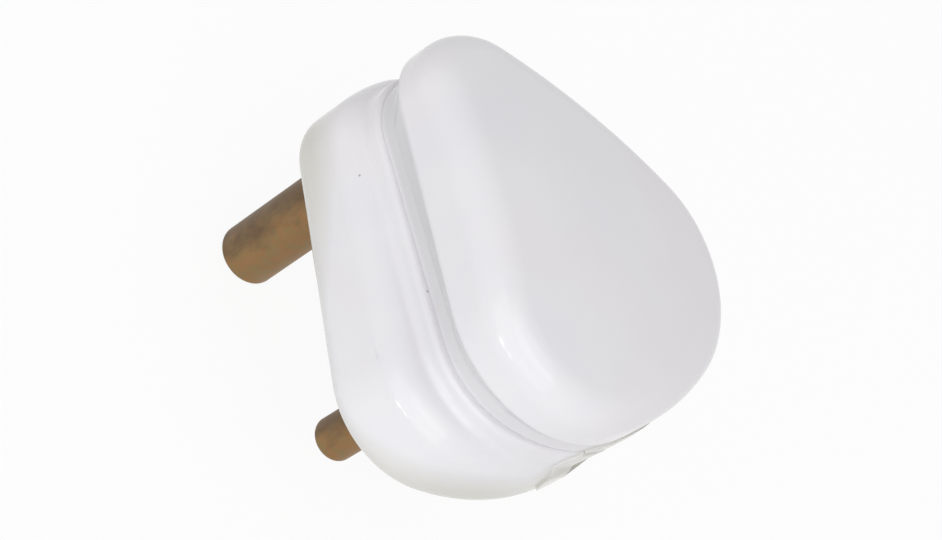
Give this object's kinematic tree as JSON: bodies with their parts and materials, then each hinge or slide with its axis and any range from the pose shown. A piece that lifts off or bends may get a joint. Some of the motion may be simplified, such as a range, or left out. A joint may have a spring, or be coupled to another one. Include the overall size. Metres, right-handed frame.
{
  "type": "round pin plug",
  "caption": "White rewirable mains plug with round brass pins, a flared base, a finger-grip waist and a teardrop flange at the back, with a cord outlet at the wide end.",
  "frame": {"origin": "on the pin face, midway between the two thinner pins", "axes": "-Z along the pins towards their tips, +Z out of the back of the cover, +Y from the thinner pins to the earth pin, +X across"},
  "size_m": [0.045, 0.0457, 0.0456],
  "materials": {
    "white_moulding": "glossy moulded thermoset",
    "clamp_moulding": "plain moulded",
    "pin_brass": "bare, dulled",
    "screw_brass": "bare",
    "insert_brass": "bare",
    "screw_steel": "zinc plated",
    "washer_fibre": "red vulcanised fibre"
  },
  "bodies": {
    "root": {"base": "white_moulding", "case_screw": "screw_steel", "cord_clamp_bar": "clamp_moulding", "cover": "white_moulding", "cover_insert": "insert_brass", "earth_pin": "pin_brass", "earth_terminal_screw": "screw_brass", "left_clamp_screw": "screw_steel", "live_pin": "pin_brass", "live_terminal_screw": "screw_brass", "neutral_pin": "pin_brass", "neutral_terminal_screw": "screw_brass", "right_clamp_screw": "screw_steel", "screw_washer": "washer_fibre"}
  },
  "joints": []
}
